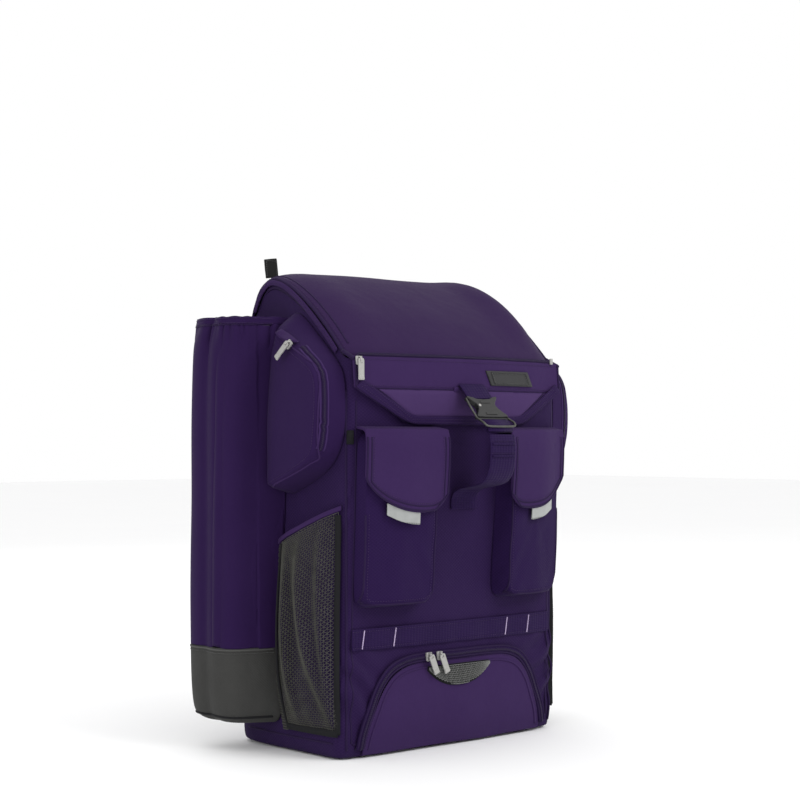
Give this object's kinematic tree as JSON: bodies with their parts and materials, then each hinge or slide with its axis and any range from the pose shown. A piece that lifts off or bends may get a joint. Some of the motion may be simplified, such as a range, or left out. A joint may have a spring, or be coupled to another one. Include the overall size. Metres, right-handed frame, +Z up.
{
  "type": "baseball bat backpack",
  "caption": "Tall cloth backpack with a sloping lid, bat sleeves at the sides, zip, mesh and flap pockets, a zipped foot compartment and a buckled front strap.",
  "frame": {"origin": "middle of the flat base that the bag stands on", "axes": "+X to the right seen from the front, +Y towards the carrying side, +Z up"},
  "size_m": [0.5272, 0.3986, 0.6292],
  "materials": {
    "panel": "smooth coated cloth, purple",
    "cloth": "ripstop cloth, purple",
    "sleeve": "smooth dark purple cloth",
    "webbing": "woven purple webbing",
    "boot": "stiff black cloth",
    "mesh": "black net",
    "padding": "black air mesh over foam",
    "plastic": "moulded black plastic",
    "rubber": "matt black rubber",
    "metal": "satin grey metal",
    "grey_tab": "grey reflective tape"
  },
  "bodies": {
    "root": {"body_shell": "cloth", "lid_panel": "panel", "side_welt_left": "panel", "side_welt_right": "panel", "lid_flap": "panel", "flap_band": "panel", "lid_zipper": "cloth", "lid_zip_slider": "metal", "lid_zip_pull": "metal", "lid_zip_stop": "metal", "label_patch": "rubber", "bat_sleeve_left": "sleeve", "bat_sleeve_right": "sleeve", "sleeve_hem_left": "sleeve", "sleeve_hem_right": "sleeve", "sleeve_boot_left": "boot", "sleeve_boot_right": "boot", "side_pocket_left": "sleeve", "side_pocket_right": "sleeve", "side_zipper_left": "cloth", "side_zipper_right": "cloth", "side_zip_slider_left": "metal", "side_zip_slider_right": "metal", "side_zip_pull_left": "metal", "side_zip_pull_right": "metal", "mesh_pocket_left": "mesh", "mesh_pocket_right": "mesh", "mesh_top_binding_left": "cloth", "mesh_top_binding_right": "cloth", "mesh_binding_left": "mesh", "mesh_binding_right": "mesh", "front_pocket_left": "cloth", "front_pocket_right": "cloth", "pocket_flap_left": "panel", "pocket_flap_right": "panel", "flap_tab_left": "grey_tab", "flap_tab_right": "grey_tab", "daisy_chain": "webbing", "arch_panel": "panel", "arch_zipper": "cloth", "mesh_vent": "mesh", "arch_zip_slider_1": "metal", "arch_zip_pull_1": "metal", "arch_zip_slider_2": "metal", "arch_zip_pull_2": "metal", "strap_upper": "webbing", "strap_lower": "webbing", "buckle_prongs": "plastic", "buckle_socket": "plastic", "back_pad": "padding", "shoulder_strap_left": "padding", "shoulder_strap_right": "padding", "ladder_lock_left": "plastic", "ladder_lock_right": "plastic", "lower_webbing_left": "webbing", "lower_webbing_right": "webbing", "haul_handle": "webbing", "corner_tag": "boot"}
  },
  "joints": []
}
